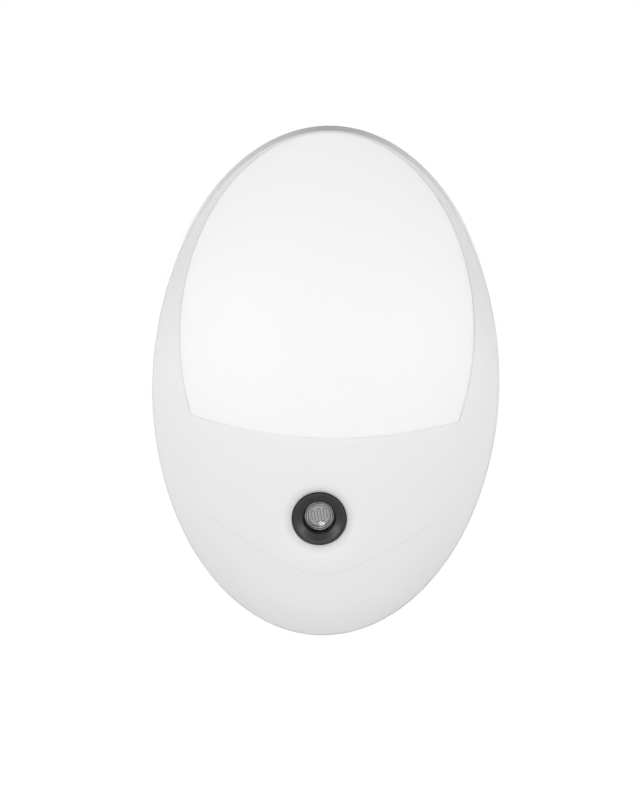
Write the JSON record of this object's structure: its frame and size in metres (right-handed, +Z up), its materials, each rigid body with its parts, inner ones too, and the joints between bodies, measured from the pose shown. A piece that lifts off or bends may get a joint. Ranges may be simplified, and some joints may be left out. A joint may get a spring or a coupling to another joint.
{
  "type": "plug in night light",
  "caption": "Oval plug-in night light: opal lens let into a domed white housing, recessed light sensor below it, three-pin plug moulded into the flat back.",
  "frame": {"origin": "on the flat plug face, at the middle of the three pins and of the oval housing", "axes": "+Z up along the oval's length, +Y out of the plug face into the socket, -Y towards the room through the lens, +X to the right seen from the room"},
  "size_m": [0.075, 0.0589, 0.1094],
  "materials": {
    "housing": "fine satin moulding",
    "opal": "opal, softly polished",
    "bezel_black": "satin black",
    "clear_window": "clear, polished",
    "cell_ceramic": "unglazed ceramic under clear varnish",
    "cell_track": "dark red-brown semiconductor film",
    "soft_black": "moulded soft plastic",
    "tinned_wire": "tinned copper",
    "pin_brass": "machined, lightly polished",
    "sleeve_plastic": "satin",
    "shutter_plastic": "satin",
    "keeper_plastic": "matte",
    "screw_steel": "zinc plated",
    "driver_laminate": "phenolic laminate",
    "lamp_laminate": "white solder mask",
    "emitter_body": "white reflective body",
    "phosphor": "yellow phosphor gel",
    "tray_white": "bright white",
    "film_yellow": "epoxy filled case",
    "can_aluminium": "drawn can",
    "can_film": "shrink sleeve",
    "chip_black": "moulded epoxy",
    "resistor_green": "flameproof coating",
    "resistor_tan": "varnish",
    "wire_brown": "wire insulation",
    "wire_blue": "wire insulation"
  },
  "bodies": {
    "root": {"front_shell": "housing", "diffuser_lens": "opal", "rear_shell": "housing", "sensor_bezel": "bezel_black", "sensor_window": "clear_window", "photocell": "cell_ceramic", "photocell_track": "cell_track", "photocell_holder": "soft_black", "photocell_leads": "tinned_wire", "live_pin": "pin_brass", "neutral_pin": "pin_brass", "pin_sleeves": "sleeve_plastic", "shutter_pin": "shutter_plastic", "pin_keeper": "keeper_plastic", "keeper_screws": "screw_steel", "housing_screws": "screw_steel", "board_screws": "screw_steel", "lamp_board_screws": "screw_steel", "driver_board": "driver_laminate", "lamp_board": "lamp_laminate", "emitters": "emitter_body", "emitter_domes": "phosphor", "reflector_tray": "tray_white", "film_capacitor": "film_yellow", "smoothing_capacitor": "can_aluminium", "smoothing_capacitor_sleeve": "can_film", "bridge_rectifier": "chip_black", "fusible_resistor": "resistor_green", "resistors": "resistor_tan", "switching_transistor": "chip_black", "component_leads": "tinned_wire", "board_link_pins": "tinned_wire", "live_wire": "wire_brown", "neutral_wire": "wire_blue"}
  },
  "joints": []
}
